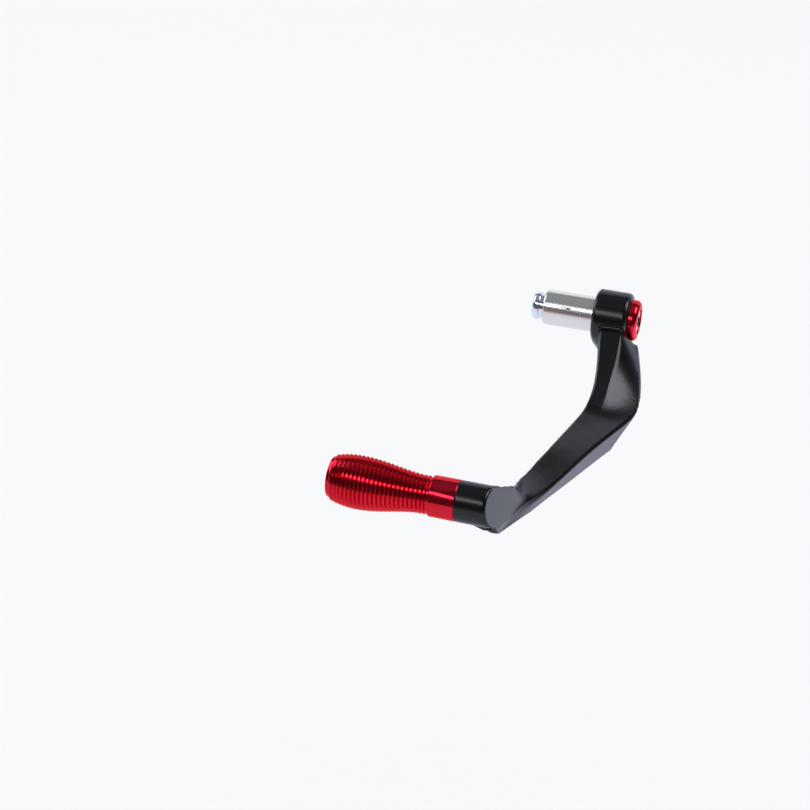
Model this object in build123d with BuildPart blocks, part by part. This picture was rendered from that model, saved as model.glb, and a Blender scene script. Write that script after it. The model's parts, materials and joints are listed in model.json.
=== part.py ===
# Brake lever guard for the right-hand end of a 22 mm handlebar, in mm.
# The bar axis is X with the cap at +X, the arm reaches forward along -Y, and Z is up.
# The inner face of the boss, which seats on the bar end, lies at X = 0.
import os
from math import cos, pi, radians, sin, sqrt

from build123d import *

os.makedirs("parts", exist_ok=True)

# Boss ring at the root of the arm
boss_radius = 12.0
boss_width = 16.0
boss_chamfer = 1.2
boss_round = 2.4
lobe_radius = 11.7
lobe_start = 0.4
lobe_width = 9.0
lobe_chamfer = 3.2
lobe_front = 0.8
lobe_drop = 3.8
recess_radius = 9.6
recess_depth = 2.4
seat_depth = 9.0
web_thickness = 2.5
bolt_clearance_radius = 3.3
cap_seat_radius = 7.6
cap_scoop_radius = 10.4

# Round tip of the arm, where the grip is fixed
reach = 155.4
tip_radius = 8.3
tip_outer = -4.0
tip_inner = -20.2
tip_block_radius = 7.1
tip_face_point = (-7.07, -2.82, 3.51)
tip_face_normal = (0.958, -0.189, 0.217)
tip_face_stand = 0.05
tip_face_radius = 15.0
keel_start = -10.0
keel_radius = 9.2
keel_margin = 2.5
spigot_radius = 5.0
spigot_length = 4.0
pilot_radius = 2.1
pilot_depth = 14.0

# Bends of the arm near the tip, measured back from the grip axis
wrist_back = 19.4
wrist_turn = 30.0
wrist_side = -3.4
corner_blunt = 0.6

# Edges and channel of the arm
lip_bevel = 0.9
ridge_bevel = 1.1
wall = 2.0
pocket_mouth = 12.0
pocket_start = 18.0
pocket_back = 14.4
pocket_floor_back = 12.4
clear = 60.0

# Underside of the arm: places along Y and heights on two lines that run beside it
under_inner_side = -12.0
under_inner_root = (0.0, -14.0)
under_inner_heel = (-8.0, -14.5)
under_inner_fold = (-28.0, -31.8)
under_outer_side = 34.0
under_outer_root = (-17.0, -17.0)
under_outer_heel = (-44.0, -21.3)
under_outer_fold = (-76.0, -26.0)
under_rise = 0.145
under_near = 30.0
under_far = -200.0
under_deep = -80.0

# Grip
collar_length = 10.8
collar_radius = 8.3
collar_chamfer = 0.4
grip_end = -72.6
grip_end_chamfer = 0.5
rib_count = 23
rib_depth = 0.7
rib_flank = 0.3
peak_radius = 11.0
peak_place = 0.3
neck_radius = 7.75
neck_place = 0.92
end_radius = 8.25
end_band = 1.4
neck_band = 0.9
spigot_clearance = 0.05
spigot_end_gap = 0.1
back_flat = 3.6
trough_half_height = 5.4
trough_floor = 4.4
trough_margin = 3.2

# Screw that holds the grip
screw_radius = 2.05
screw_hole_radius = 2.7
screw_engagement = 8.0
screw_head_radius = 4.25
screw_head_length = 5.0
screw_hex_across = 4.0
screw_hex_depth = 2.5
head_recess_radius = 4.6
head_recess_depth = 5.4

# Expander sleeve
sleeve_radius = 8.0
sleeve_neck_radius = 7.4
sleeve_end = -23.4
sleeve_bore = 5.0
sleeve_mouth = 6.2
taper_length = 13.0
slot_width = 0.7
slot_length = 13.0
slot_turn = 35.0
sleeve_fit = 0.02
sleeve_round = 1.5

# End cap
cap_radius = 9.3
cap_stand = 4.0
cap_round = 2.4
cap_recess_radius = 5.6
cap_recess_depth = 6.4
cap_edge = 0.4
cap_hole_radius = 3.2
cap_fit = 0.05

# Expander bolt and wedge nut
bolt_radius = 2.96
bolt_end = -28.0
head_radius = 5.0
head_length = 5.7
head_gap = 0.3
head_chamfer = 0.4
hex_across = 5.0
hex_depth = 3.0
thread_clearance = 0.04
wedge_head_radius = 6.4
wedge_head_length = 4.8
wedge_round = 2.2
wedge_edge = 0.4
wedge_gap = 0.5
wedge_mouth_gap = 0.25
wedge_tail = 11.0
wedge_tail_radius = 5.05
lug_reach = 7.4
lug_root = 4.0
lug_width = 0.5
lug_length = 8.9

# Places that follow from the sizes
cap_inner = seat_depth + web_thickness
cap_face = boss_width + cap_stand
cap_floor = cap_face - cap_recess_depth
collar_left = tip_inner - collar_length
screw_seat = collar_left + head_recess_depth
wedge_bore = bolt_radius + thread_clearance
pocket_end = reach - pocket_back
bar_axis = Axis((0, 0, 0), (1, 0, 0))
grip_axis = Axis((0, -reach, 0), (1, 0, 0))
bar_plane = Plane(origin=(0, 0, 0), x_dir=(1, 0, 0), z_dir=(0, -1, 0))
grip_plane = Plane(origin=(0, -reach, 0), x_dir=(1, 0, 0), z_dir=(0, -1, 0))


def quarter_round(start, corner, end):
    """Quarter circle between two points, with the corner that it rounds off."""
    Bezier(start, corner, end, weights=(1, sqrt(0.5), 1))


def cross_plane(front, turn=0.0, side=0.0):
    """Upright plane across the arm, turned from facing forward to facing inward."""
    swing = radians(turn)
    return Plane(
        origin=(side, -front, 0),
        x_dir=(cos(swing), -sin(swing), 0),
        z_dir=(-sin(swing), -cos(swing), 0),
    )


def in_space(plane, points):
    """Corners of a cross section, from its plane to the guard's own frame."""
    return [plane.from_local_coords(Vector(*point)) for point in points]


def towards(start, end, distance):
    """Point at a distance from one corner towards another."""
    return start + (end - start).normalized() * distance


def softened(corners):
    """Corners of a cross section with the inner lip and the outer ridge each cut to a narrow bevel."""
    lip, crest, flank, ridge, foot, toe = corners
    return [
        towards(lip, toe, lip_bevel), towards(lip, crest, lip_bevel), crest, flank,
        towards(ridge, flank, ridge_bevel), towards(ridge, foot, ridge_bevel), foot, toe,
    ]


def skin(*spans, blended=()):
    """Solid round spans of cross sections, smooth along a span.
    At the first turn the corners numbered in blended run on smoothly, and all others turn sharply."""
    sides = []
    for number, rows in enumerate(spans):
        count = len(rows[0])
        centres = [sum(row, Vector()) / count for row in rows]
        places = [0.0]
        for first, last in zip(centres, centres[1:]):
            places.append(places[-1] + (last - first).length)
        places = [place / places[-1] for place in places]
        lines = []
        for i in range(count):
            points = [row[i] for row in rows]
            tangents = None
            if i in blended and number < 2:
                start_speed = (points[1] - points[0]) / (places[1] - places[0])
                end_speed = (points[-1] - points[-2]) / (places[-1] - places[-2])
                across = (spans[1][1][i] - spans[0][-2][i]).normalized()
                if number == 0:
                    end_speed = across * end_speed.length
                else:
                    start_speed = across * start_speed.length
                tangents = [start_speed, end_speed]
            lines.append(Edge.make_spline(points, tangents, parameters=places, scale=False))
        sides += [Face.make_surface_from_curves(lines[i], lines[(i + 1) % count]) for i in range(count)]
    ends = [Face(Wire.make_polygon(row, close=True)) for row in (spans[0][0], spans[-1][-1])]
    return Solid(Shell(sides + ends))


# Cross sections from the boss to the wrist:
# distance forward, inner lip, crest, flank, outer ridge, depth of the foot, place of the inner foot
sections = [
    (5, (3.0, 1.2), (13.2, 1.2), (14.4, 0.2), (21.4, -8.6), -22, 3.0),
    (14, (4.6, 0.9), (14.6, 1.1), (15.8, 0.0), (24.6, -13.9), -24, 5.0),
    (30, (7.6, -7.0), (15.2, -7.2), (16.4, -8.0), (28.3, -17.8), -30, 7.5),
    (42, (8.6, -12.3), (15.0, -13.0), (16.4, -13.7), (28.9, -19.7), -34, 8.0),
    (50, (8.1, -14.7), (14.6, -16.0), (17.0, -16.7), (27.0, -19.7), -35, 7.4),
    (64, (6.0, -14.6), (11.8, -15.9), (16.0, -16.9), (22.6, -18.4), -34, 5.4),
    (94, (1.0, -11.2), (5.5, -12.7), (8.8, -13.8), (14.0, -15.6), -27, 0.6),
    (124, (-4.4, -8.0), (-1.0, -9.9), (1.7, -11.4), (5.4, -13.7), -19, -4.8),
]
# The wrist rises to the outer corner, turns into the tip and fades out along the tip as a keel
wrist = [(-0.4, -2.2), (1.6, -4.0), (3.2, -7.4), (4.9, -11.9), (5.6, -15.4), (-0.4, -16.0)]
# Outer corner: distance forward of the grip axis, height, distance inward of the boss's inner face
corner = [(-4.6, 6.4, 6.25), (1.1, 7.82, 7.1), (7.63, 2.04, 7.1), (1.76, -10.9, 3.7),
          (1.6, -12.4, 4.3), (-5.4, -12.6, 5.6)]
pocket_tip = [(-18, -11.4), (-6.5, -11.4), (-4, -11.7), (-2, -12), (-2, -17), (-18, -17)]
tip_angles = [126, 112, 72, 14, -32, -46, -58, -150]
smooth_numbers = (0, 1, 2, 3)
ridge_number = 5
keel_number = 6


def tip_corners(keel):
    """Corners on the circle of the tip, with the keel's edge at its own radius."""
    radii = [keel if i == keel_number else tip_block_radius for i in range(len(tip_angles))]
    return [(r * cos(radians(a)), r * sin(radians(a))) for a, r in zip(tip_angles, radii)]


outside = []
inside = []
for front, lip, crest, flank, ridge, foot, toe in sections:
    plane = cross_plane(front)
    outside.append(softened(in_space(plane, (lip, crest, flank, ridge, (ridge[0], foot), (toe, foot)))))
    mouth = lip[0] - pocket_mouth
    inner_ridge = ridge[0] - wall
    inside.append(in_space(plane, (
        (mouth, lip[1] - wall), (lip[0], lip[1] - wall), (crest[0], crest[1] - wall),
        (inner_ridge, ridge[1] - wall), (inner_ridge, foot), (mouth, foot))))
inside.append(in_space(cross_plane(reach - pocket_floor_back), pocket_tip))
wrist_row = softened(in_space(cross_plane(reach - wrist_back, wrist_turn, wrist_side), wrist))
corner_row = softened(in_space(cross_plane(reach, 90), corner))
tip_row = in_space(cross_plane(reach, 90, keel_start), tip_corners(keel_radius))
fade_row = in_space(cross_plane(reach, 90, tip_inner + keel_margin), tip_corners(tip_block_radius))

# Space under the arm, with a fold across it
with BuildPart() as below:
    for side, root, heel, fold in (
        (under_inner_side, under_inner_root, under_inner_heel, under_inner_fold),
        (under_outer_side, under_outer_root, under_outer_heel, under_outer_fold),
    ):
        far_height = fold[1] + under_rise * (fold[0] - under_far)
        with BuildSketch(Plane(origin=(side, 0, 0), x_dir=(0, 1, 0), z_dir=(1, 0, 0))):
            Polygon((under_far, far_height), fold, heel, root, (under_near, root[1]),
                    (under_near, under_deep), (under_far, under_deep), align=None)
    loft(ruled=True)

# Hollow of the channel, open towards the bar
with BuildPart() as pocket:
    add(skin(inside[1:]))
    add(Pos(0, 0, wall) * below.part, mode=Mode.SUBTRACT)
    with BuildSketch(Plane.XY.offset(-clear)):
        with Locations((0, -(pocket_start + pocket_end) / 2)):
            Rectangle(2 * clear, pocket_end - pocket_start)
    extrude(amount=2 * clear, mode=Mode.INTERSECT)

with BuildPart() as arm:
    spans = (outside + [wrist_row, corner_row], [corner_row, tip_row], [tip_row, fade_row])
    add(skin(*spans, blended=smooth_numbers))
    add(below.part, mode=Mode.SUBTRACT)
    add(pocket.part, mode=Mode.SUBTRACT)
    # Blunt the outer corner
    peak = corner_row[ridge_number]
    inward = (wrist_row[ridge_number] - peak).normalized() + (tip_row[ridge_number] - peak).normalized()
    inward = inward.normalized()
    with BuildSketch(Plane(origin=peak + inward * corner_blunt, z_dir=-inward)):
        Circle(tip_radius)
    extrude(amount=tip_radius, mode=Mode.SUBTRACT)
    # Clear the space of the cap
    with BuildSketch(Plane.YZ.offset(boss_width)):
        Circle(cap_scoop_radius)
    extrude(amount=clear, mode=Mode.SUBTRACT)
    # Boss ring
    with BuildSketch(bar_plane):
        with BuildLine():
            Polyline(
                (boss_width, boss_radius - boss_round), (boss_width, 0), (0, 0),
                (0, boss_radius - boss_chamfer), (boss_chamfer, boss_radius),
                (boss_width - boss_round, boss_radius))
            quarter_round((boss_width - boss_round, boss_radius), (boss_width, boss_radius),
                          (boss_width, boss_radius - boss_round))
        make_face()
    revolve(axis=bar_axis)
    # Lobe that carries the ring down into the arm
    with BuildSketch(Plane(origin=(0, -lobe_front, -lobe_drop), x_dir=(1, 0, 0), z_dir=(0, -1, 0))):
        Polygon((lobe_start, 0), (lobe_start, lobe_radius - lobe_chamfer), (lobe_start + lobe_chamfer, lobe_radius),
                (lobe_start + lobe_width, lobe_radius), (lobe_start + lobe_width, 0), align=None)
    revolve(axis=Axis((0, -lobe_front, -lobe_drop), (1, 0, 0)))
    # Round tip and spigot
    with BuildSketch(grip_plane):
        with BuildLine():
            Polyline(
                (tip_outer, tip_radius), (tip_outer, 0), (tip_inner - spigot_length, 0),
                (tip_inner - spigot_length, spigot_radius), (tip_inner, spigot_radius),
                (tip_inner, tip_radius), close=True)
        make_face()
    revolve(axis=grip_axis)
    # Flat face across the outer end of the tip
    face_point = Vector(*tip_face_point) + Vector(0, -reach, 0)
    face_normal = Vector(*tip_face_normal).normalized()
    with BuildSketch(Plane(origin=face_point + face_normal * tip_face_stand, z_dir=face_normal)):
        Circle(tip_face_radius)
    extrude(amount=tip_face_radius, mode=Mode.SUBTRACT)
    with BuildSketch(Plane.YZ.offset(tip_inner - spigot_length)):
        with Locations((-reach, 0)):
            Circle(pilot_radius)
    extrude(amount=pilot_depth, mode=Mode.SUBTRACT)
    # Bore of the boss
    with BuildSketch(bar_plane):
        with BuildLine():
            Polyline(
                (-clear, 0), (-clear, recess_radius), (recess_depth, recess_radius),
                (recess_depth, sleeve_neck_radius + sleeve_fit), (seat_depth, sleeve_neck_radius + sleeve_fit),
                (seat_depth, bolt_clearance_radius), (cap_inner, bolt_clearance_radius),
                (cap_inner, cap_seat_radius), (boss_width + clear, cap_seat_radius),
                (boss_width + clear, 0), close=True)
        make_face()
    revolve(axis=bar_axis, mode=Mode.SUBTRACT)
arm.part.label = "arm"
export_step(arm.part, "parts/arm.step")


def bulb_radius(place):
    """Radius of the grip by its place along the bulb, 0 at the free end and 1 at the collar."""
    if place < peak_place:
        return end_radius + (peak_radius - end_radius) * sin(pi / 2 * place / peak_place) ** 0.65
    if place < neck_place:
        fall = (1 + cos(pi * (place - peak_place) / (neck_place - peak_place))) / 2
        return neck_radius + (peak_radius - neck_radius) * fall ** 0.85
    return neck_radius


# Outline of the grip with its turned ribs, from the free end to the collar
rib_start = grip_end + end_band
rib_pitch = (collar_left - neck_band - rib_start) / rib_count
bulb_length = collar_left - grip_end
groove_radius = neck_radius - rib_depth
outline = [(grip_end, 0), (grip_end, end_radius - grip_end_chamfer), (grip_end + grip_end_chamfer, end_radius)]
for rib in range(rib_count):
    for share, sink in ((0, rib_depth), (rib_flank, 0), (1 - rib_flank, 0)):
        x = rib_start + (rib + share) * rib_pitch
        outline.append((x, bulb_radius((x - grip_end) / bulb_length) - sink))
outline += [
    (collar_left - neck_band, groove_radius), (collar_left, groove_radius),
    (collar_left, collar_radius - collar_chamfer), (collar_left + collar_chamfer, collar_radius),
    (tip_inner - collar_chamfer, collar_radius), (tip_inner, collar_radius - collar_chamfer), (tip_inner, 0),
]

with BuildPart() as tip_grip:
    with BuildSketch(grip_plane):
        Polygon(*outline, align=None)
    revolve(axis=grip_axis)
    # Open back, from the collar to the free end
    with BuildSketch(Plane.XY.offset(-clear)):
        with Locations((collar_left - clear, -reach + back_flat + clear)):
            Rectangle(2 * clear, 2 * clear)
    extrude(amount=2 * clear, mode=Mode.SUBTRACT)
    with BuildSketch(Plane.XY.offset(-trough_half_height)):
        with Locations(((grip_end + trough_margin + collar_left) / 2, -reach - trough_floor + clear)):
            Rectangle(bulb_length - trough_margin, 2 * clear)
    extrude(amount=2 * trough_half_height, mode=Mode.SUBTRACT)
    # Bore for the spigot, screw and screw head
    with BuildSketch(grip_plane):
        with BuildLine():
            spigot_floor = tip_inner - spigot_length - spigot_end_gap
            Polyline(
                (tip_inner, 0), (tip_inner, spigot_radius + spigot_clearance),
                (spigot_floor, spigot_radius + spigot_clearance), (spigot_floor, screw_hole_radius),
                (screw_seat, screw_hole_radius), (screw_seat, head_recess_radius),
                (collar_left, head_recess_radius), (collar_left, 0), close=True)
        make_face()
    revolve(axis=grip_axis, mode=Mode.SUBTRACT)
tip_grip.part.label = "tip_grip"
export_step(tip_grip.part, "parts/tip_grip.step")

with BuildPart() as tip_screw:
    with BuildSketch(Plane.YZ.offset(screw_seat)):
        with Locations((-reach, 0)):
            Circle(screw_head_radius)
    extrude(amount=-screw_head_length)
    with BuildSketch(Plane.YZ.offset(screw_seat)):
        with Locations((-reach, 0)):
            Circle(screw_radius)
    extrude(amount=tip_inner - screw_seat + screw_engagement)
    with BuildSketch(Plane.YZ.offset(screw_seat - screw_head_length)):
        with Locations((-reach, 0)):
            RegularPolygon(screw_hex_across / 2, 6, major_radius=False)
    extrude(amount=screw_hex_depth, mode=Mode.SUBTRACT)
tip_screw.part.label = "tip_screw"
export_step(tip_screw.part, "parts/tip_screw.step")

with BuildPart() as end_cap:
    with BuildSketch(bar_plane):
        with BuildLine():
            Polyline(
                (cap_face, cap_radius - cap_round), (cap_face, cap_recess_radius + cap_edge),
                (cap_face - cap_edge, cap_recess_radius), (cap_floor, cap_recess_radius),
                (cap_floor, cap_hole_radius), (cap_inner, cap_hole_radius),
                (cap_inner, cap_seat_radius - cap_fit), (boss_width, cap_seat_radius - cap_fit),
                (boss_width, cap_radius), (cap_face - cap_round, cap_radius))
            quarter_round((cap_face - cap_round, cap_radius), (cap_face, cap_radius),
                          (cap_face, cap_radius - cap_round))
        make_face()
    revolve(axis=bar_axis)
end_cap.part.label = "end_cap"
export_step(end_cap.part, "parts/end_cap.step")

with BuildPart() as expander_sleeve:
    with BuildSketch(bar_plane):
        with BuildLine():
            Polyline(
                (sleeve_end + sleeve_round, sleeve_radius), (0, sleeve_radius), (0, sleeve_neck_radius),
                (seat_depth, sleeve_neck_radius), (seat_depth, sleeve_bore),
                (sleeve_end + taper_length, sleeve_bore), (sleeve_end, sleeve_mouth),
                (sleeve_end, sleeve_radius - sleeve_round))
            quarter_round((sleeve_end, sleeve_radius - sleeve_round), (sleeve_end, sleeve_radius),
                          (sleeve_end + sleeve_round, sleeve_radius))
        make_face()
    revolve(axis=bar_axis)
    for turn in (slot_turn, slot_turn + 90):
        with BuildSketch(Plane.YZ.offset(sleeve_end)):
            Rectangle(4 * sleeve_radius, slot_width, rotation=-turn)
        extrude(amount=slot_length, mode=Mode.SUBTRACT)
expander_sleeve.part.label = "expander_sleeve"
export_step(expander_sleeve.part, "parts/expander_sleeve.step")

with BuildPart() as expander_bolt:
    head_seat = cap_floor + head_gap
    with BuildSketch(Plane.YZ.offset(head_seat)):
        Circle(head_radius)
    extrude(amount=head_length)
    chamfer(expander_bolt.edges().filter_by(GeomType.CIRCLE).sort_by(Axis.X)[-1], head_chamfer)
    with BuildSketch(Plane.YZ.offset(head_seat)):
        Circle(bolt_radius)
    extrude(amount=bolt_end - head_seat)
    with BuildSketch(Plane.YZ.offset(head_seat + head_length)):
        RegularPolygon(hex_across / 2, 6, major_radius=False)
    extrude(amount=-hex_depth, mode=Mode.SUBTRACT)
expander_bolt.part.label = "expander_bolt"
export_step(expander_bolt.part, "parts/expander_bolt.step")

with BuildPart() as wedge_nut:
    wedge_face = sleeve_end - wedge_gap
    wedge_back = wedge_face - wedge_head_length
    with BuildSketch(bar_plane):
        with BuildLine():
            Polyline(
                (wedge_back + wedge_round, wedge_head_radius), (wedge_face - wedge_edge, wedge_head_radius),
                (wedge_face, wedge_head_radius - wedge_edge), (wedge_face, sleeve_mouth - wedge_mouth_gap),
                (wedge_face + wedge_tail, wedge_tail_radius), (wedge_face + wedge_tail, wedge_bore),
                (wedge_back, wedge_bore), (wedge_back, wedge_head_radius - wedge_round))
            quarter_round((wedge_back, wedge_head_radius - wedge_round), (wedge_back, wedge_head_radius),
                          (wedge_back + wedge_round, wedge_head_radius))
        make_face()
    revolve(axis=bar_axis)
    # Lugs that run in two slots of the sleeve and keep the nut from turning
    with BuildSketch(Plane.YZ.offset(wedge_face)):
        Rectangle(2 * lug_reach, lug_width, rotation=-slot_turn)
        Circle(lug_root, mode=Mode.SUBTRACT)
    extrude(amount=lug_length)
wedge_nut.part.label = "wedge_nut"
export_step(wedge_nut.part, "parts/wedge_nut.step")
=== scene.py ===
"""Looks of the brake lever guard: its pieces, finishes, light and camera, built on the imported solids.

All sizes of the guard are in millimetres and turn into metres where a mesh is made. The bar axis is X, the
arm reaches forward along -Y and Z is up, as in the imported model.
"""

import json
import logging
from collections.abc import Callable
from dataclasses import dataclass, field
from enum import Enum
from math import cos, pi, radians, sin

import bpy
from mathutils import Matrix, Vector

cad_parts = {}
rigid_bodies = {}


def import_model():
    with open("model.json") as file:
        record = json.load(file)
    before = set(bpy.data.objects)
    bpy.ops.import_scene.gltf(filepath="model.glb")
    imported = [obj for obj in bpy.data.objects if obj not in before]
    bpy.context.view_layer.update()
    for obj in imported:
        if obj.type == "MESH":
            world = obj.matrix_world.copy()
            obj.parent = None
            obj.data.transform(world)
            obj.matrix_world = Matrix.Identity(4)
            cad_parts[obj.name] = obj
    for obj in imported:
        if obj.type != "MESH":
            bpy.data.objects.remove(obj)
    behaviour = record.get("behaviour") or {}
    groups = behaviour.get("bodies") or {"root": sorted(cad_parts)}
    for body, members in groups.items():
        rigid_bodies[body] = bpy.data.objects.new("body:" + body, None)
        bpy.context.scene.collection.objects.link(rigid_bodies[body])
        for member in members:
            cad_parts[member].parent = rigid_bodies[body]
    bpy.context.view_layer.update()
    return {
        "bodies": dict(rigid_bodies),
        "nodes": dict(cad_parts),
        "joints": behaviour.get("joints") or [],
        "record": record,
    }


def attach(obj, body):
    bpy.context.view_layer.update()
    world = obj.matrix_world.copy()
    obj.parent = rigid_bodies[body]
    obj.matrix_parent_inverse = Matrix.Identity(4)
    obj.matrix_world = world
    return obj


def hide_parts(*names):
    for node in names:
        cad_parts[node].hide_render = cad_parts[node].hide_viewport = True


# Metres in a millimetre
MM = 0.001
# Points nearer than this are merged, in mm
MERGE_DISTANCE = 0.002
# Edges that turn by more than this stay crisp, in degrees
CRISP_ANGLE = 32.0
# How far a cutter stands out of the piece that it cuts, in mm
CUT_OVER = 1.0
# Number of points along a small rounded edge
EDGE_POINTS = 4
# Detail and roughness of every noise pattern
GRAIN_DETAIL = 3.0
GRAIN_ROUGHNESS = 0.55
LOG = logging.getLogger("lever_guard")

Point = tuple[float, float]
Place = tuple[float, float, float]
Colour = tuple[float, float, float, float]
Test = Callable[[bpy.types.MeshVertex], bool]
WHITE: Colour = (1.0, 1.0, 1.0, 1.0)


class Body(Enum):
    """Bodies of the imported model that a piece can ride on."""

    GUARD = "guard"
    BOLT = "bolt"
    WEDGE = "wedge"


class Slot(Enum):
    """Material slots of the record."""

    BLACK = "black_anodised"
    RED = "red_anodised"
    BARE = "bare_aluminium"
    PLATED = "plated_steel"
    DARK = "dark_steel"


class Work(Enum):
    """What a tool piece does to another piece."""

    CUT = "DIFFERENCE"
    JOIN = "UNION"


class Throw(Enum):
    """What a studio lamp is there for."""

    FILL = "lights matt surfaces"
    MIRROR = "is seen in glossy surfaces"


def linear(code: str) -> Colour:
    """Turns an sRGB hex colour to linear.

    Args:
        code: six hex digits after a hash sign.

    Returns:
        Red, green, blue and an alpha of one.
    """
    values = [int(code[i:i + 2], 16) / 255 for i in (1, 3, 5)]
    # The curve of the sRGB standard
    values = [v / 12.92 if v <= 0.04045 else ((v + 0.055) / 1.055) ** 2.4 for v in values]
    return (values[0], values[1], values[2], 1.0)


def add_node(tree: bpy.types.NodeTree, kind: str, settings: dict[str, object],
             links: dict[str, object]) -> bpy.types.Node:
    """Adds a node to a tree.

    Args:
        tree: the node tree of a material or world.
        kind: type name of the node.
        settings: values by the name of a property or, failing that, of an input.
        links: output sockets by the name of the input that they feed.

    Returns:
        The new node.
    """
    node = tree.nodes.new(kind)
    for name, value in settings.items():
        if hasattr(node, name):
            setattr(node, name, value)
        else:
            node.inputs[name].default_value = value
    for name, output in links.items():
        tree.links.new(output, node.inputs[name])
    return node


def select_only(piece: bpy.types.Object) -> None:
    """Makes a piece the only selected object and the active one.

    Args:
        piece: the object to select.
    """
    bpy.ops.object.select_all(action="DESELECT")
    piece.select_set(True)
    bpy.context.view_layer.objects.active = piece


def apply_modifier(piece: bpy.types.Object, kind: str, settings: dict[str, object]) -> None:
    """Adds a modifier with its settings and applies it.

    Args:
        piece: the object to change.
        kind: type name of the modifier.
        settings: values by the name of a property.
    """
    modifier = piece.modifiers.new(kind.lower(), kind)
    for name, value in settings.items():
        setattr(modifier, name, value)
    select_only(piece)
    bpy.ops.object.modifier_apply(modifier=modifier.name)


def smooth(piece: bpy.types.Object) -> None:
    """Shades a piece smooth, with its sharp edges left crisp."""
    select_only(piece)
    bpy.ops.object.shade_smooth_by_angle(angle=radians(CRISP_ANGLE))


def block(low: Place, high: Place, turn: float = 0.0) -> bpy.types.Object:
    """Adds a block that cuts or joins another piece.

    Args:
        low: lowest corner in mm, before the turn.
        high: highest corner in mm, before the turn.
        turn: turn about the bar axis in degrees.

    Returns:
        The block, with its place in its mesh.
    """
    bpy.ops.object.select_all(action="DESELECT")
    bpy.ops.mesh.primitive_cube_add(size=1.0)
    piece = bpy.context.object
    sizes = [(b - a) * MM for a, b in zip(low, high)]
    centre = [(a + b) / 2 * MM for a, b in zip(low, high)]
    turning = Matrix.Rotation(radians(turn), 4, "X")
    piece.matrix_world = turning @ Matrix.Translation(centre) @ Matrix.Diagonal((*sizes, 1.0))
    bpy.ops.object.transform_apply(location=True, rotation=True, scale=True)
    return piece


def hexagon(across: float, start: float, end: float, axis_y: float) -> bpy.types.Object:
    """Adds a six-sided prism along X that cuts a key socket.

    Args:
        across: distance across two flats in mm.
        start: place of one end along X in mm.
        end: place of the other end along X in mm.
        axis_y: place of its axis along Y in mm.

    Returns:
        The prism, with its place in its mesh.
    """
    bpy.ops.object.select_all(action="DESELECT")
    radius = across / 2 / cos(pi / 6) * MM
    bpy.ops.mesh.primitive_cylinder_add(
        vertices=6, radius=radius, depth=abs(end - start) * MM,
        location=((start + end) / 2 * MM, axis_y * MM, 0.0), rotation=(0.0, pi / 2, 0.0))
    bpy.ops.object.transform_apply(location=True, rotation=True, scale=True)
    return bpy.context.object


def combine(piece: bpy.types.Object, tool: bpy.types.Object, work: Work) -> None:
    """Cuts or joins a piece with a tool piece, which is then removed.

    Args:
        piece: the object that stays.
        tool: the object that cuts it or is joined to it.
        work: what the tool does.
    """
    apply_modifier(piece, "BOOLEAN", {"operation": work.value, "object": tool, "solver": "EXACT"})
    bpy.data.objects.remove(tool)


def arc(centre: Point, radius: float, start: float, end: float, count: int) -> list[Point]:
    """Points along an arc in a turned piece's outline.

    Args:
        centre: place along the axis and distance from it, in mm.
        radius: radius in mm.
        start: first angle in degrees, from the direction of +X.
        end: last angle in degrees.
        count: number of points.

    Returns:
        The points, in mm.
    """
    angles = [radians(start + (end - start) * i / (count - 1)) for i in range(count)]
    return [(centre[0] + radius * cos(a), centre[1] + radius * sin(a)) for a in angles]


def turned(name: str, outline: list[Point], axis_y: float, steps: int,
           closed: bool = False) -> bpy.types.Object:
    """Spins an outline about an axis along X, as a lathe turns a bar.

    Args:
        name: name of the piece.
        outline: places along the axis and distances from it, in mm.
        axis_y: place of the axis along Y in mm.
        steps: number of steps round the axis.
        closed: whether the outline runs back to its start, as for a ring.

    Returns:
        The turned piece.
    """
    bpy.ops.object.select_all(action="DESELECT")
    bpy.ops.mesh.primitive_plane_add(size=MM)
    piece = bpy.context.object
    piece.name = name
    piece.data.name = name
    bpy.ops.object.mode_set(mode="EDIT")
    bpy.ops.mesh.select_all(action="SELECT")
    bpy.ops.mesh.merge(type="CENTER")
    points = [Vector((x, axis_y, r)) * MM for x, r in outline]
    if closed:
        points.append(points[0])
    bpy.ops.transform.translate(value=points[0])
    for first, last in zip(points, points[1:]):
        bpy.ops.mesh.extrude_vertices_move(TRANSFORM_OT_translate={"value": last - first})
    bpy.ops.mesh.select_all(action="SELECT")
    bpy.ops.mesh.spin(steps=steps, angle=2 * pi, center=(0.0, axis_y * MM, 0.0), axis=(1.0, 0.0, 0.0))
    bpy.ops.mesh.select_all(action="SELECT")
    bpy.ops.mesh.remove_doubles(threshold=MERGE_DISTANCE * MM)
    bpy.ops.mesh.normals_make_consistent(inside=False)
    bpy.ops.object.mode_set(mode="OBJECT")
    return piece


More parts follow.
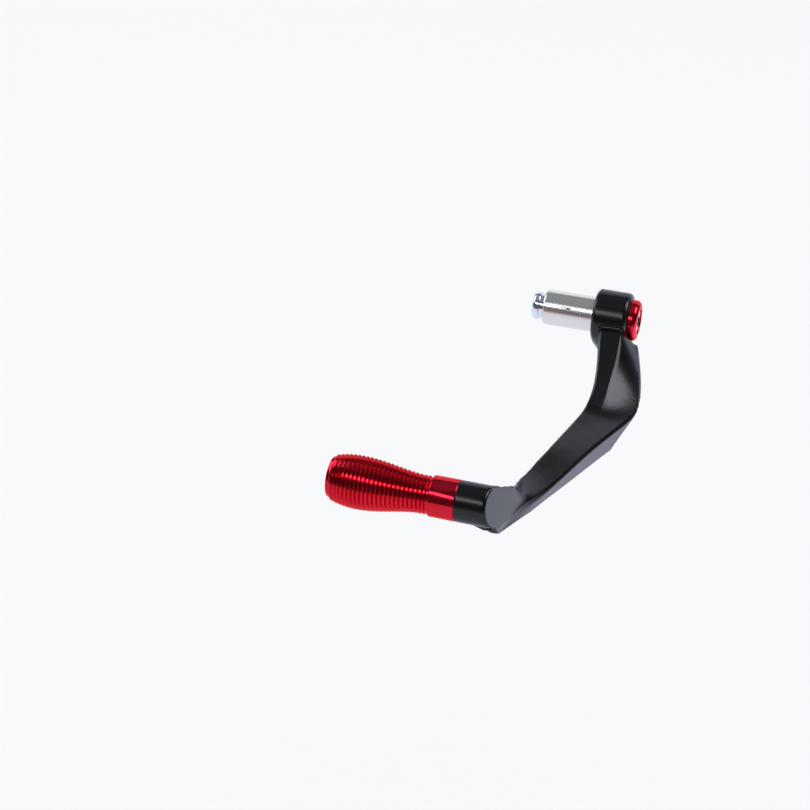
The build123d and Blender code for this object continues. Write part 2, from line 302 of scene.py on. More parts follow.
@dataclass(frozen=True)
class Finish:
    """A surface finish of the guard."""

    name: str

    def shade(self, tree: bpy.types.NodeTree, shader: bpy.types.Node, place: bpy.types.NodeSocket) -> None:
        """Sets the shader and adds the pattern of the finish.

        Args:
            tree: node tree of the material.
            shader: its surface shader.
            place: object coordinates, in metres.
        """
        raise NotImplementedError

    def material(self) -> bpy.types.Material:
        """Makes the material of the finish.

        Returns:
            The new material.
        """
        result = bpy.data.materials.new(self.name)
        result.use_nodes = True
        tree = result.node_tree
        coordinates = add_node(tree, "ShaderNodeTexCoord", {}, {})
        self.shade(tree, tree.nodes["Principled BSDF"], coordinates.outputs["Object"])
        return result

    def grain(self, tree: bpy.types.NodeTree, place: bpy.types.NodeSocket, size: Vector) -> bpy.types.Node:
        """Adds a noise with its own grain size along each axis.

        Args:
            tree: node tree of the material.
            place: object coordinates, in metres.
            size: width of the grain along X, Y and Z in mm.

        Returns:
            The noise node.
        """
        scale = Vector(1.0 / (s * MM) for s in size)
        mapping = add_node(tree, "ShaderNodeMapping", {"Scale": scale}, {"Vector": place})
        settings = {"Scale": 1.0, "Detail": GRAIN_DETAIL, "Roughness": GRAIN_ROUGHNESS}
        return add_node(tree, "ShaderNodeTexNoise", settings, {"Vector": mapping.outputs["Vector"]})


@dataclass(frozen=True)
class Metal(Finish):
    """A metal with two shades of one colour and a fine relief."""

    first_shade: str
    second_shade: str
    roughness: tuple[float, float]
    relief: float = 0.1
    relief_depth: float = 0.01

    def cover(self, tree: bpy.types.NodeTree, shader: bpy.types.Node, shades: bpy.types.Node,
              marks: bpy.types.Node) -> None:
        """Sets the colour, the gloss and the relief of the metal.

        Args:
            tree: node tree of the material.
            shader: its surface shader.
            shades: pattern that mixes the two shades.
            marks: pattern of the gloss and the relief.
        """
        colour = add_node(tree, "ShaderNodeMix", {"data_type": "RGBA"}, {"Factor": shades.outputs["Fac"]})
        colour.inputs["A"].default_value = linear(self.first_shade)
        colour.inputs["B"].default_value = linear(self.second_shade)
        limits = {"To Min": self.roughness[0], "To Max": self.roughness[1]}
        gloss = add_node(tree, "ShaderNodeMapRange", limits, {"Value": marks.outputs["Fac"]})
        depth = {"Strength": self.relief, "Distance": self.relief_depth * MM}
        relief = add_node(tree, "ShaderNodeBump", depth, {"Height": marks.outputs["Fac"]})
        shader.inputs["Metallic"].default_value = 1.0
        tree.links.new(colour.outputs["Result"], shader.inputs["Base Color"])
        tree.links.new(gloss.outputs["Result"], shader.inputs["Roughness"])
        tree.links.new(relief.outputs["Normal"], shader.inputs["Normal"])


@dataclass(frozen=True)
class BlackAnodised(Metal):
    """Bead-blasted aluminium, dyed black in its anodised layer.

    The eye sees a soft black with a satin sheen that turns light grey where it is seen at a low angle.
    """

    first_shade: str = "#323235"
    second_shade: str = "#39393c"
    roughness: tuple[float, float] = (0.22, 0.3)
    relief: float = 0.06
    relief_depth: float = 0.02
    sheen: str = "#f0f3ff"
    grit: float = 0.5
    cloud: float = 14.0

    def shade(self, tree: bpy.types.NodeTree, shader: bpy.types.Node, place: bpy.types.NodeSocket) -> None:
        """Sets a dark metal with blasted grit. The grit is drawn about five times coarser than the real one.

        Args:
            tree: node tree of the material.
            shader: its surface shader.
            place: object coordinates, in metres.
        """
        grit = self.grain(tree, place, Vector((self.grit, self.grit, self.grit)))
        cloud = self.grain(tree, place, Vector((self.cloud, self.cloud, self.cloud)))
        self.cover(tree, shader, cloud, grit)
        shader.inputs["Specular Tint"].default_value = linear(self.sheen)


@dataclass(frozen=True)
class TurnedMetal(Metal):
    """Bare or plated metal, turned bright on a lathe.

    The eye sees a mirror drawn out along the axis, with clear light and dark bands and faint tool lines.
    """

    line: float = 0.4
    line_length: float = 60.0

    def shade(self, tree: bpy.types.NodeTree, shader: bpy.types.Node, place: bpy.types.NodeSocket) -> None:
        """Sets a metal with tool lines. The lines are drawn three to four times coarser than the real ones.

        Args:
            tree: node tree of the material.
            shader: its surface shader.
            place: object coordinates, in metres.
        """
        lines = self.grain(tree, place, Vector((self.line, self.line_length, self.line_length)))
        self.cover(tree, shader, lines, lines)


@dataclass(frozen=True)
class RedAnodised(TurnedMetal):
    """Turned aluminium with a bright red dyed layer under a clear seal.

    The eye sees deep red metal, pink where it mirrors a lamp, with fine tool lines round the axis.
    """

    first_shade: str = "#d41632"
    second_shade: str = "#bd0e29"
    roughness: tuple[float, float] = (0.14, 0.22)
    relief: float = 0.08
    line: float = 0.35
    rim: str = "#ff9aa2"
    seal: float = 0.25
    seal_roughness: float = 0.12

    def shade(self, tree: bpy.types.NodeTree, shader: bpy.types.Node, place: bpy.types.NodeSocket) -> None:
        """Sets a red metal with tool lines under its clear seal.

        Args:
            tree: node tree of the material.
            shader: its surface shader.
            place: object coordinates, in metres.
        """
        super().shade(tree, shader, place)
        shader.inputs["Specular Tint"].default_value = linear(self.rim)
        shader.inputs["Coat Weight"].default_value = self.seal
        shader.inputs["Coat Roughness"].default_value = self.seal_roughness


@dataclass(frozen=True)
class PaleFloor(Finish):
    """Matt white board under the guard, even and nearly without grain."""

    colour: str = "#f6f7f9"
    tooth: float = 6.0
    relief: float = 0.02
    relief_depth: float = 0.05
    roughness: float = 0.9
    gloss: float = 0.1

    def shade(self, tree: bpy.types.NodeTree, shader: bpy.types.Node, place: bpy.types.NodeSocket) -> None:
        """Sets a matt white with a trace of paper tooth.

        Args:
            tree: node tree of the material.
            shader: its surface shader.
            place: object coordinates, in metres.
        """
        tooth = self.grain(tree, place, Vector((self.tooth, self.tooth, self.tooth)))
        depth = {"Strength": self.relief, "Distance": self.relief_depth * MM}
        relief = add_node(tree, "ShaderNodeBump", depth, {"Height": tooth.outputs["Fac"]})
        shader.inputs["Base Color"].default_value = linear(self.colour)
        shader.inputs["Roughness"].default_value = self.roughness
        shader.inputs["Specular IOR Level"].default_value = self.gloss
        tree.links.new(relief.outputs["Normal"], shader.inputs["Normal"])


@dataclass
class Finishes:
    """The guard's finishes as materials, each made once."""

    black: bpy.types.Material
    red: bpy.types.Material
    bare: bpy.types.Material
    plated: bpy.types.Material
    dark: bpy.types.Material

    @classmethod
    def make(cls) -> "Finishes":
        """Makes all finishes of the guard.

        Returns:
            The finishes.
        """
        return cls(
            black=BlackAnodised("black_anodised_aluminium").material(),
            red=RedAnodised("red_anodised_turned_aluminium").material(),
            bare=TurnedMetal("bare_turned_aluminium", "#e4e4e8", "#d0d1d6", (0.22, 0.32)).material(),
            plated=TurnedMetal("zinc_plated_steel", "#dfe9f8", "#cfdcf0", (0.06, 0.12)).material(),
            dark=TurnedMetal("black_oxide_steel", "#2b2b2e", "#222225", (0.3, 0.4)).material(),
        )


def fit_out(piece: bpy.types.Object, node: str, body: Body, finish: bpy.types.Material) -> None:
    """Dresses a finished piece and puts it in its node's place.

    Args:
        piece: the finished object.
        node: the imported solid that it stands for.
        body: the body that it rides on.
        finish: its material.
    """
    piece.data.materials.clear()
    piece.data.materials.append(finish)
    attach(piece, body.value)
    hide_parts(node)
    LOG.info("%s stands for %s, %d faces", piece.name, node, len(piece.data.polygons))


@dataclass(frozen=True)
class SoftSpot:
    """A place on the arm that is rounder than the solid has it."""

    place: Place
    reach: float
    passes: int


@dataclass(frozen=True)
class Rise:
    """A place on the arm that stands higher than the solid has it."""

    place: Place
    height: float
    spread: float


@dataclass
class Arm:
    """Bowed channel arm with the boss ring and the round tip, one cast and machined piece.

    The fields named after the edge of the tip, the lip, the rises, the flat side of the elbow, the seam and
    the fold say where the surface is shaped there and how strongly.
    """

    grid: float = 0.47
    grid_swell: float = 0.35
    grid_passes: int = 2
    soft_passes: int = 5
    blend: float = 0.5
    axis_y: float = -155.4
    tip_radius: float = 8.3
    tip_face: Place = (-7.02, -158.23, 3.52)
    tip_facing: Place = (0.958, -0.189, 0.217)
    edge_depth: float = 1.8
    edge_over: float = 0.5
    edge_reach: float = 0.7
    edge_back: float = 1.0
    edge_passes: int = 25
    lip: tuple[Place, ...] = (
        (-6.0, -149.5, 5.6), (-4.0, -144.0, 2.0), (-3.75, -136.0, -3.0), (-4.4, -124.5, -8.7),
        (-2.3, -111.0, -10.95), (0.9, -94.0, -11.8))
    lip_reach: float = 2.0
    lip_passes: int = 12
    rises: tuple[Rise, ...] = (Rise((-4.8, -147.0, 3.4), 1.3, 5.0), Rise((-3.8, -140.0, -0.8), 1.0, 9.0))
    rise_core: float = 1.2
    sheet_size: float = 200.0
    outward: float = 0.5
    outward_fade: float = 0.3
    flat_back: float = -128.0
    flat_fade: float = 15.0
    flat_low: float = -10.8
    flat_low_fade: float = 1.5
    flat_band: tuple[float, float] = (-3.2, 2.0)
    seam_front: float = -153.0
    seam_back: float = -143.0
    seam_band: float = 1.4
    seam_passes: int = 12
    fold_front: float = -147.0
    fold_back: float = -122.0
    fold_band: tuple[float, float] = (-3.5, 3.0)
    fold_climb: float = 0.4
    fold_steps: tuple[float, ...] = (0.0, 2.0, 4.0, 6.0)
    fold_passes: int = 10
    # The outer corner of the elbow, its heel, and the end of the outer ridge beside the cap
    soft_spots: tuple[SoftSpot, ...] = (
        SoftSpot((-3.8, -157.1, -11.0), 2.6, 12), SoftSpot((-6.6, -157.6, -10.3), 2.7, 12),
        SoftSpot((20.9, -6.4, -8.2), 3.2, 12))

    def level(self, vertex: bpy.types.MeshVertex) -> float:
        """Height of a vertex over the flat face of the tip, in mm."""
        return (vertex.co / MM - Vector(self.tip_face)).dot(Vector(self.tip_facing).normalized())

    def near(self, vertex: bpy.types.MeshVertex, place: Place, reach: float) -> bool:
        """Tells whether a vertex lies within a distance in mm of a place."""
        return (vertex.co - Vector(place) * MM).length < reach * MM

    def on_tip_edge(self, vertex: bpy.types.MeshVertex) -> bool:
        """Tells whether a vertex lies near the edge between the round tip and its flat face.

        Args:
            vertex: a vertex of the arm.

        Returns:
            Whether it lies there.
        """
        place = vertex.co / MM
        reach = Vector((0.0, place.y - self.axis_y, place.z)).length
        round_side = abs(reach - self.tip_radius) < self.edge_reach and place.y < self.axis_y + self.edge_back
        return round_side and -self.edge_depth < self.level(vertex) < self.edge_over

    def on_seam(self, vertex: bpy.types.MeshVertex) -> bool:
        """Tells whether a vertex lies where the wrist meets the flat face of the tip.

        Args:
            vertex: a vertex of the arm.

        Returns:
            Whether it lies there.
        """
        place = vertex.co / MM
        level = abs(self.level(vertex)) < self.seam_band
        above = place.z > self.flat_low + self.flat_low_fade
        return level and above and self.seam_front < place.y < self.seam_back

    def on_lip(self, vertex: bpy.types.MeshVertex) -> bool:
        """Tells whether a vertex lies near the lip along the inside of the bend.

        Args:
            vertex: a vertex of the arm.

        Returns:
            Whether it lies there.
        """
        place = vertex.co / MM
        for first, last in zip(self.lip, self.lip[1:]):
            start = Vector(first)
            run = Vector(last) - start
            share = min(1.0, max(0.0, (place - start).dot(run) / run.length_squared))
            if (place - start - run * share).length < self.lip_reach:
                return True
        return False

    def in_fold(self, vertex: bpy.types.MeshVertex, narrow: float) -> bool:
        """Tells whether a vertex lies in the fold between the arm and the flat face of its tip.

        Args:
            vertex: a vertex of the arm.
            narrow: distance in mm by which the ends of the fold are left out.

        Returns:
            Whether it lies there.
        """
        place = vertex.co / MM
        across = self.fold_front + narrow < place.y < self.fold_back - narrow
        outer = vertex.normal.dot(Vector(self.tip_facing)) > self.outward
        level = self.fold_band[0] < self.level(vertex) < self.fold_band[1]
        above = place.z > self.flat_low + self.fold_climb * narrow
        return across and outer and level and above and not self.on_lip(vertex)

    def flatness(self, vertex: bpy.types.MeshVertex) -> float:
        """Share by which a vertex is drawn level with the flat face of the tip.

        Args:
            vertex: a vertex of the arm.

        Returns:
            1 on the flat face, falling to 0 along the arm, at the ridge and round the edges.
        """
        place = vertex.co / MM
        facing = Vector(self.tip_facing).normalized()
        along = min(1.0, (self.flat_back - place.y) / self.flat_fade)
        above = min(1.0, (place.z - self.flat_low) / self.flat_low_fade)
        turned_out = min(1.0, (vertex.normal.dot(facing) - self.outward) / self.outward_fade)
        level = self.flat_band[0] < self.level(vertex) < self.flat_band[1]
        if min(along, above, turned_out) <= 0.0 or not level:
            return 0.0
        return along * along * (3 - 2 * along) * above * turned_out

    def flatten(self, piece: bpy.types.Object) -> None:
        """Draws the outer side of the elbow onto a flat sheet that lies on the face of the tip.

        Args:
            piece: the arm.
        """
        group = piece.vertex_groups.new(name="elbow")
        for vertex in piece.data.vertices:
            share = self.flatness(vertex)
            if share > 0.0:
                group.add([vertex.index], share, "REPLACE")
        bpy.ops.object.select_all(action="DESELECT")
        turn = Vector(self.tip_facing).normalized().to_track_quat("Z", "Y").to_euler()
        bpy.ops.mesh.primitive_plane_add(
            size=self.sheet_size * MM, location=Vector(self.tip_face) * MM, rotation=turn)
        sheet = bpy.context.object
        apply_modifier(piece, "SHRINKWRAP", {"target": sheet, "vertex_group": group.name,
                                             "wrap_method": "NEAREST_SURFACEPOINT"})
        bpy.data.objects.remove(sheet)
        piece.vertex_groups.clear()

    def choose(self, piece: bpy.types.Object, test: Test) -> None:
        """Opens the arm for editing with some vertices selected.

        Args:
            piece: the arm.
            test: tells which vertices.
        """
        chosen = [test(vertex) for vertex in piece.data.vertices]
        select_only(piece)
        bpy.ops.object.mode_set(mode="EDIT")
        bpy.ops.mesh.select_all(action="DESELECT")
        bpy.ops.object.mode_set(mode="OBJECT")
        piece.data.vertices.foreach_set("select", chosen)
        bpy.ops.object.mode_set(mode="EDIT")

    def lift(self, piece: bpy.types.Object, rise: Rise) -> None:
        """Draws the arm up round a place, less and less with distance.

        Args:
            piece: the arm.
            rise: the place, how high it is drawn and how far the change spreads.
        """
        self.choose(piece, lambda vertex: self.near(vertex, rise.place, self.rise_core))
        bpy.ops.transform.translate(
            value=(0.0, 0.0, rise.height * MM), use_proportional_edit=True, use_proportional_connected=True,
            proportional_edit_falloff="SMOOTH", proportional_size=rise.spread * MM)
        bpy.ops.object.mode_set(mode="OBJECT")

    def ease(self, piece: bpy.types.Object, test: Test, passes: int) -> None:
        """Smooths some vertices of the arm.

        Args:
            piece: the arm.
            test: tells which vertices.
            passes: number of smoothing passes.
        """
        self.choose(piece, test)
        bpy.ops.mesh.vertices_smooth(factor=self.blend, repeat=passes)
        bpy.ops.object.mode_set(mode="OBJECT")

    def copy_on_grid(self, node: bpy.types.Object) -> bpy.types.Object:
        """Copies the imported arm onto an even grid, with its edges softened as blasting does.

        Args:
            node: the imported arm.

        Returns:
            The copy.
        """
        select_only(node)
        bpy.ops.object.duplicate()
        piece = bpy.context.object
        piece.name = "cast_arm"
        piece.data.name = "cast_arm"
        bpy.ops.object.mode_set(mode="EDIT")
        bpy.ops.mesh.select_all(action="SELECT")
        bpy.ops.mesh.remove_doubles(threshold=MERGE_DISTANCE * MM)
        bpy.ops.object.mode_set(mode="OBJECT")
        # The lip is thinner than the grid in places, so it is swollen first and drawn back onto the solid
        apply_modifier(piece, "DISPLACE", {"strength": self.grid_swell * MM, "mid_level": 0.0})
        apply_modifier(piece, "REMESH", {"mode": "VOXEL", "voxel_size": self.grid * MM})
        apply_modifier(piece, "SMOOTH", {"factor": self.blend, "iterations": self.grid_passes})
        apply_modifier(piece, "SHRINKWRAP", {"target": node, "wrap_method": "NEAREST_SURFACEPOINT"})
        apply_modifier(piece, "SMOOTH", {"factor": self.blend, "iterations": self.soft_passes})
        return piece

    def build(self, node: bpy.types.Object) -> bpy.types.Object:
        """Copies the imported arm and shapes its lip, its elbow and the fold between them.

        Args:
            node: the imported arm.

        Returns:
            The finished arm.
        """
        piece = self.copy_on_grid(node)
        self.ease(piece, self.on_lip, self.lip_passes)
        for rise in self.rises:
            self.lift(piece, rise)
        self.flatten(piece)
        self.ease(piece, self.on_seam, self.seam_passes)
        self.flatten(piece)
        for narrow in self.fold_steps:
            self.ease(piece, lambda vertex: self.in_fold(vertex, narrow), self.fold_passes)
        self.ease(piece, self.on_tip_edge, self.edge_passes)
        for spot in self.soft_spots:
            self.ease(piece, lambda vertex: self.near(vertex, spot.place, spot.reach), spot.passes)
        select_only(piece)
        bpy.ops.object.shade_smooth()
        return piece

    def dress(self, piece: bpy.types.Object, finishes: Finishes) -> None:
        """Gives the arm its finish and its place."""
        fit_out(piece, "arm", Body.GUARD, finishes.black)


@dataclass
class TipGrip:
    """Ribbed round grip across the tip of the lever, with its screw."""

    axis_y: float = -155.4
    collar_end: float = -20.2
    collar_start: float = -31.0
    collar_radius: float = 8.3
    collar_edge: float = 0.45
    free_end: float = -72.6
    free_radius: float = 8.25
    free_edge: float = 0.7
    free_edge_points: int = 5
    free_band: float = 1.4
    neck_band: float = 0.9
    neck_radius: float = 7.75
    neck_place: float = 0.92
    peak_radius: float = 11.0
    peak_place: float = 0.3
    swell_power: float = 0.65
    fall_power: float = 0.85
    rib_count: int = 23
    rib_depth: float = 0.55
    rib_points: int = 10
    groove_width: float = 0.2
    groove_power: float = 1.3
    spigot_bore: float = 5.05
    spigot_floor: float = -24.3
    screw_hole: float = 2.7
    screw_seat: float = -25.6
    head_recess: float = 4.6
    back_flat: float = 3.6
    trough_half_height: float = 5.4
    trough_floor: float = 4.4
    trough_margin: float = 3.2
    trough_over: float = 0.02
    steps: int = 96
    screw_head_radius: float = 4.25
    screw_head_length: float = 5.0
    screw_radius: float = 2.05
    screw_end: float = -12.2
    screw_key: float = 4.0
    screw_key_depth: float = 2.5
    screw_edge: float = 0.4
    screw_steps: int = 48
    far: float = 30.0

    def bulb(self, place: float) -> float:
        """Radius of the bulb without its ribs.

        Args:
            place: 0 at the free end and 1 at the collar.

        Returns:
            The radius in mm.
        """
        if place < self.peak_place:
            swell = sin(pi / 2 * place / self.peak_place) ** self.swell_power
            return self.free_radius + (self.peak_radius - self.free_radius) * swell
        if place < self.neck_place:
            fall = (1 + cos(pi * (place - self.peak_place) / (self.neck_place - self.peak_place))) / 2
            return self.neck_radius + (self.peak_radius - self.neck_radius) * fall ** self.fall_power
        return self.neck_radius

    def outline(self) -> list[Point]:
        """Outline of the turned grip, from the free end over the ribs and the collar into the bore.

        Returns:
            Places along the axis and distances from it, in mm.
        """
        edge = self.free_edge
        points = [(self.free_end, 0.0), (self.free_end, self.free_radius - edge)]
        corner = (self.free_end + edge, self.free_radius - edge)
        points += arc(corner, edge, 180, 90, self.free_edge_points)[1:]
        start = self.free_end + self.free_band
        length = self.collar_start - self.free_end
        pitch = (self.collar_start - self.neck_band - start) / self.rib_count
        for i in range(self.rib_count * self.rib_points):
            along = i / self.rib_points
            x = start + along * pitch
            wave = (cos(2 * pi * along) + self.groove_width) / (1 + self.groove_width)
            groove = max(0.0, wave) ** self.groove_power
            points.append((x, self.bulb((x - self.free_end) / length) - groove * self.rib_depth))
        floor = self.neck_radius - self.rib_depth
        edge = self.collar_edge
        points += [(self.collar_start - self.neck_band, floor), (self.collar_start, floor)]
        points += arc((self.collar_start + edge, self.collar_radius - edge), edge, 180, 90, EDGE_POINTS)
        points += arc((self.collar_end - edge, self.collar_radius - edge), edge, 90, 0, EDGE_POINTS)
        points += [
            (self.collar_end, self.spigot_bore), (self.spigot_floor, self.spigot_bore),
            (self.spigot_floor, self.screw_hole), (self.screw_seat, self.screw_hole),
            (self.screw_seat, self.head_recess), (self.collar_start, self.head_recess),
            (self.collar_start, 0.0)]
        return points

    def build(self) -> bpy.types.Object:
        """Turns the grip and mills its open back.

        Returns:
            The finished grip.
        """
        piece = turned("ribbed_grip", self.outline(), self.axis_y, self.steps)
        back = self.axis_y + self.back_flat
        combine(piece, block((self.free_end - CUT_OVER, back, -self.far),
                             (self.collar_start, back + self.far, self.far)), Work.CUT)
        floor = self.axis_y - self.trough_floor
        half = self.trough_half_height
        combine(piece, block((self.free_end + self.trough_margin, floor, -half),
                             (self.collar_start + self.trough_over, floor + self.far, half)), Work.CUT)
        smooth(piece)
        return piece

    def build_screw(self) -> bpy.types.Object:
        """Turns the screw that holds the grip and sinks its key socket.

        Returns:
            The finished screw.
        """
        top = self.screw_seat - self.screw_head_length
        edge = self.screw_edge
        outline = [(top, 0.0), (top, self.screw_head_radius - edge)]
        outline += arc((top + edge, self.screw_head_radius - edge), edge, 180, 90, EDGE_POINTS)[1:]
        outline += [
            (self.screw_seat, self.screw_head_radius), (self.screw_seat, self.screw_radius),
            (self.screw_end - edge, self.screw_radius), (self.screw_end, self.screw_radius - edge),
            (self.screw_end, 0.0)]
        piece = turned("grip_screw", outline, self.axis_y, self.screw_steps)
        socket = hexagon(self.screw_key, top - CUT_OVER, top + self.screw_key_depth, self.axis_y)
        combine(piece, socket, Work.CUT)
        smooth(piece)
        return piece

    def dress(self, grip: bpy.types.Object, screw: bpy.types.Object, finishes: Finishes) -> None:
        """Gives the grip and its screw their finishes and places."""
        fit_out(grip, "tip_grip", Body.GUARD, finishes.red)
        fit_out(screw, "tip_screw", Body.GUARD, finishes.dark)


@dataclass
class Expander:
    """Split sleeve, wedge nut, bolt and cap that clamp the guard in the end of the bar."""

    sleeve_radius: float = 8.0
    sleeve_neck: float = 7.4
    sleeve_end: float = -23.4
    sleeve_seat: float = 9.0
    sleeve_bore: float = 5.0
    sleeve_mouth: float = 6.2
    sleeve_round: float = 1.5
    sleeve_round_points: int = 9
    taper: float = 13.0
    slot_width: float = 0.7
    slot_length: float = 13.0
    slot_turn: float = 35.0
    cap_radius: float = 9.3
    cap_seat: float = 16.0
    cap_inner: float = 11.5
    cap_plug: float = 7.55
    cap_face: float = 20.0
    cap_round: float = 2.4
    cap_recess: float = 5.6
    cap_floor: float = 13.6
    cap_hole: float = 3.2
    cap_edge: float = 0.4
    cap_seat_edge: float = 0.15
    head_radius: float = 5.0
    head_seat: float = 13.9
    head_top: float = 19.6
    head_edge: float = 0.4
    head_key: float = 5.0
    head_key_depth: float = 3.0
    bolt_radius: float = 2.96
    bolt_end: float = -28.0
    wedge_radius: float = 6.4
    wedge_back: float = -28.7
    wedge_face: float = -23.9
    wedge_round: float = 2.2
    wedge_edge: float = 0.4
    wedge_neck: float = 1.3
    wedge_neck_depth: float = 0.9
    wedge_tail: float = -12.9
    wedge_tail_radius: float = 5.05
    wedge_bore: float = 3.0
    lug_start: float = -23.9
    lug_end: float = -15.0
    lug_root: float = 4.0
    lug_reach: float = 6.35
    lug_width: float = 0.5
    round_points: int = 10
    steps: int = 96

    def build_sleeve(self) -> bpy.types.Object:
        """Turns the sleeve and saws its four slots.

        Returns:
            The finished sleeve.
        """
        rim = self.sleeve_round
        outline = [(self.sleeve_end, self.sleeve_mouth)]
        corner = (self.sleeve_end + rim, self.sleeve_radius - rim)
        outline += arc(corner, rim, 180, 90, self.sleeve_round_points)
        outline += [
            (0.0, self.sleeve_radius), (0.0, self.sleeve_neck), (self.sleeve_seat, self.sleeve_neck),
            (self.sleeve_seat, self.sleeve_bore), (self.sleeve_end + self.taper, self.sleeve_bore)]
        piece = turned("split_sleeve", outline, 0.0, self.steps, closed=True)
        wide = 2 * self.sleeve_radius
        half = self.slot_width / 2
        for turn in (-self.slot_turn, 90 - self.slot_turn):
            combine(piece, block((self.sleeve_end - CUT_OVER, -wide, -half),
                                 (self.sleeve_end + self.slot_length, wide, half), turn), Work.CUT)
        smooth(piece)
        return piece

    def build_cap(self) -> bpy.types.Object:
        """Turns the end cap with its rounded rim and deep recess.

        Returns:
            The finished cap.
        """
        rim = self.cap_round
        outline = [
            (self.cap_inner, self.cap_hole), (self.cap_inner, self.cap_plug), (self.cap_seat, self.cap_plug),
            (self.cap_seat, self.cap_radius - self.cap_seat_edge),
            (self.cap_seat + self.cap_seat_edge, self.cap_radius)]
        outline += arc((self.cap_face - rim, self.cap_radius - rim), rim, 90, 0, self.round_points)
        edge = self.cap_edge
        outline += arc((self.cap_face - edge, self.cap_recess + edge), edge, 0, -90, EDGE_POINTS)
        outline += [(self.cap_floor, self.cap_recess), (self.cap_floor, self.cap_hole)]
        piece = turned("end_cap_ring", outline, 0.0, self.steps, closed=True)
        smooth(piece)
        return piece

    def build_bolt(self) -> bpy.types.Object:
        """Turns the expander bolt and sinks its key socket.

        Returns:
            The finished bolt.
        """
        edge = self.head_edge
        outline = [
            (self.bolt_end, 0.0), (self.bolt_end, self.bolt_radius - edge),
            (self.bolt_end + edge, self.bolt_radius), (self.head_seat, self.bolt_radius),
            (self.head_seat, self.head_radius)]
        outline += arc((self.head_top - edge, self.head_radius - edge), edge, 90, 0, EDGE_POINTS)
        outline.append((self.head_top, 0.0))
        piece = turned("socket_bolt", outline, 0.0, self.steps)
        socket = hexagon(self.head_key, self.head_top - self.head_key_depth, self.head_top + CUT_OVER, 0.0)
        combine(piece, socket, Work.CUT)
        smooth(piece)
        return piece

    def build_wedge(self) -> bpy.types.Object:
        """Turns the wedge nut and adds the two lugs that run in the slots.

        Returns:
            The finished nut.
        """
        edge = self.wedge_edge
        rim = self.wedge_round
        outline = [(self.wedge_back, self.wedge_bore)]
        outline += arc((self.wedge_back + rim, self.wedge_radius - rim), rim, 180, 90, self.round_points)
        shoulder = self.wedge_face - self.wedge_neck
        outline += arc((shoulder - edge, self.wedge_radius - edge), edge, 90, 0, EDGE_POINTS)
        neck = self.wedge_radius - self.wedge_neck_depth
        outline += [
            (shoulder, neck), (self.wedge_face, neck), (self.wedge_tail, self.wedge_tail_radius),
            (self.wedge_tail, self.wedge_bore)]
        piece = turned("wedge_nut_turned", outline, 0.0, self.steps, closed=True)
        half = self.lug_width / 2
        for low, high in ((-self.lug_reach, -self.lug_root), (self.lug_root, self.lug_reach)):
            lug = block((self.lug_start, low, -half), (self.lug_end, high, half), -self.slot_turn)
            combine(piece, lug, Work.JOIN)
        smooth(piece)
        return piece

    def dress(self, finishes: Finishes) -> None:
        """Builds the four pieces and gives them their finishes and places.

        Args:
            finishes: the guard's finishes.
        """
        fit_out(self.build_sleeve(), "expander_sleeve", Body.GUARD, finishes.bare)
        fit_out(self.build_cap(), "end_cap", Body.GUARD, finishes.red)
        fit_out(self.build_bolt(), "expander_bolt", Body.BOLT, finishes.plated)
        fit_out(self.build_wedge(), "wedge_nut", Body.WEDGE, finishes.plated)


@dataclass(frozen=True)
class SoftBox:
    """A flat studio lamp with an even face."""

    name: str
    place: Place
    aim: Place
    size: tuple[float, float]
    glow: float
    throw: Throw = Throw.MIRROR

    def hang(self) -> None:
        """Adds the lamp. Its glow is the brightness of its face, and its power follows from its area."""
        lamp = bpy.data.lights.new(self.name, "AREA")
        lamp.shape = "RECTANGLE"
        lamp.size, lamp.size_y = self.size
        lamp.energy = self.glow * self.size[0] * self.size[1] * pi
        holder = bpy.data.objects.new(self.name, lamp)
        holder.location = self.place
        facing = Vector(self.aim) - Vector(self.place)
        holder.rotation_euler = facing.to_track_quat("-Z", "Y").to_euler()
        holder.visible_camera = False
        holder.visible_diffuse = self.throw is Throw.FILL
        holder.visible_glossy = self.throw is Throw.MIRROR
        bpy.context.scene.collection.objects.link(holder)


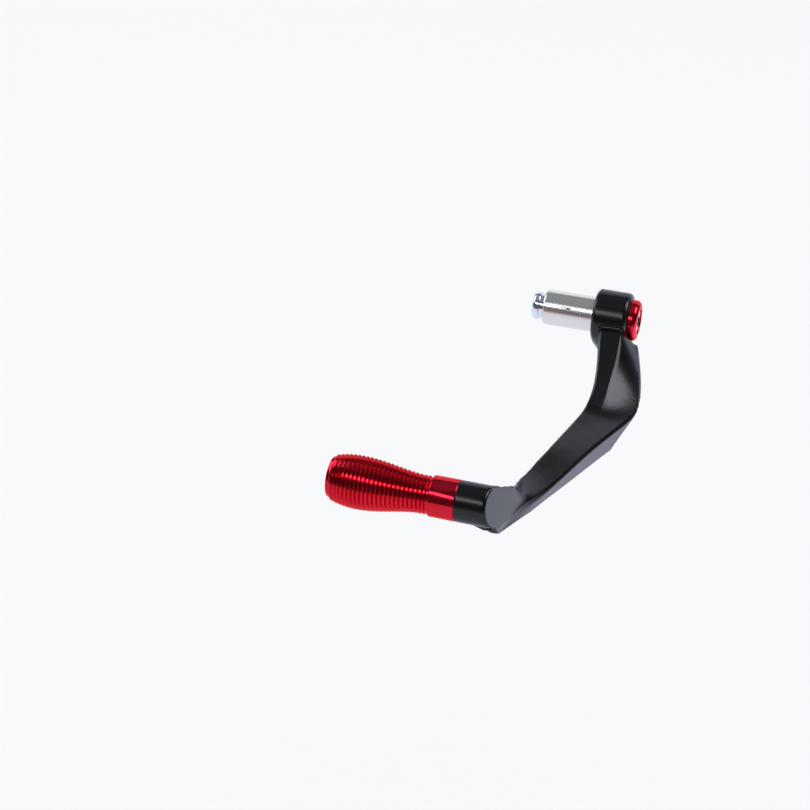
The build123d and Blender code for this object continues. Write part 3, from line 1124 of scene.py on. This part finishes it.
@dataclass
class Studio:
    """White board, soft lamps and the camera."""

    floor_height: float = -0.45
    floor_size: float = 12.0
    floor_cells: int = 8
    room_glow: float = 0.12
    seen_glow: float = 0.93
    lamps: list[SoftBox] = field(default_factory=lambda: [
        SoftBox("overhead_fill", (0.0, 0.0, 1.6), (0.0, 0.0, 0.0), (24.0, 24.0), 0.918, Throw.FILL),
        SoftBox("backdrop", (-0.1, 1.5, 0.5), (-0.1, 0.0, 0.3), (2.3, 1.3), 0.95),
        SoftBox("front_strip", (-0.31, -0.96, 0.92), (0.0, -0.1, 0.0), (1.0, 0.22), 5.0),
        SoftBox("right_softbox", (0.8, 0.3, 1.0), (0.0, -0.05, 0.0), (0.7, 0.7), 5.5),
        SoftBox("low_right_card", (0.42, 0.065, -0.29), (0.0, -0.14, 0.0), (0.5, 0.28), 1.25),
        SoftBox("ceiling", (-0.3, 0.2, 1.3), (-0.1, 0.0, 0.0), (1.3, 1.2), 0.2),
        SoftBox("left_card", (-1.2, 0.3, 0.5), (0.0, -0.1, 0.0), (0.9, 0.8), 3.2),
    ])
    azimuth: float = 16.74
    elevation: float = 33.58
    roll: float = 0.83
    lens: float = 84.36
    sensor: float = 36.0
    near_clip: float = 0.01
    eye: Place = (130.62, -730.98, 439.12)

    def lay_floor(self) -> None:
        """Lays the white board under the guard."""
        bpy.ops.object.select_all(action="DESELECT")
        bpy.ops.mesh.primitive_grid_add(
            x_subdivisions=self.floor_cells, y_subdivisions=self.floor_cells, size=self.floor_size,
            location=(0.0, 0.0, self.floor_height))
        floor = bpy.context.object
        floor.name = "white_board"
        bpy.ops.object.transform_apply(location=True, rotation=True, scale=True)
        floor.data.materials.append(PaleFloor("matt_white_board").material())

    def light(self) -> None:
        """Hangs the lamps in a dim room that looks white to the camera itself."""
        world = bpy.data.worlds.new("dim_room")
        world.use_nodes = True
        tree = world.node_tree
        tree.nodes.clear()
        path = add_node(tree, "ShaderNodeLightPath", {}, {})
        dim = add_node(tree, "ShaderNodeBackground", {"Color": WHITE, "Strength": self.room_glow}, {})
        white = add_node(tree, "ShaderNodeBackground", {"Color": WHITE, "Strength": self.seen_glow}, {})
        mix = add_node(tree, "ShaderNodeMixShader", {}, {"Fac": path.outputs["Is Camera Ray"]})
        tree.links.new(dim.outputs["Background"], mix.inputs[1])
        tree.links.new(white.outputs["Background"], mix.inputs[2])
        add_node(tree, "ShaderNodeOutputWorld", {}, {"Surface": mix.outputs["Shader"]})
        bpy.context.scene.world = world
        for lamp in self.lamps:
            lamp.hang()
        bpy.context.scene.view_settings.view_transform = "Standard"

    def place_camera(self) -> None:
        """Places the camera at the view of the photograph."""
        turn, rise, tilt = radians(self.azimuth), radians(self.elevation), radians(self.roll)
        back = Vector((sin(turn) * cos(rise), -cos(turn) * cos(rise), sin(rise)))
        right = Vector((cos(turn), sin(turn), 0.0))
        up = back.cross(right)
        side = right * cos(tilt) + up * sin(tilt)
        top = up * cos(tilt) - right * sin(tilt)
        camera = bpy.data.cameras.new("photo_camera")
        camera.lens = self.lens
        camera.sensor_width = self.sensor
        camera.sensor_fit = "HORIZONTAL"
        camera.clip_start = self.near_clip
        holder = bpy.data.objects.new("photo_camera", camera)
        frame = Matrix((side, top, back)).transposed().to_4x4()
        holder.matrix_world = Matrix.Translation(Vector(self.eye) * MM) @ frame
        bpy.context.scene.collection.objects.link(holder)
        bpy.context.scene.camera = holder

    def set_up(self) -> None:
        """Sets up the whole studio."""
        self.lay_floor()
        self.light()
        self.place_camera()
        LOG.info("studio is set up")


def main() -> None:
    """Builds the guard and its studio."""
    logging.basicConfig(level=logging.INFO, format="%(name)s: %(message)s")
    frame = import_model()
    finishes = Finishes.make()
    arm = Arm()
    arm.dress(arm.build(frame["nodes"]["arm"]), finishes)
    grip = TipGrip()
    grip.dress(grip.build(), grip.build_screw(), finishes)
    Expander().dress(finishes)
    Studio().set_up()


if __name__ == "__main__":
    main()
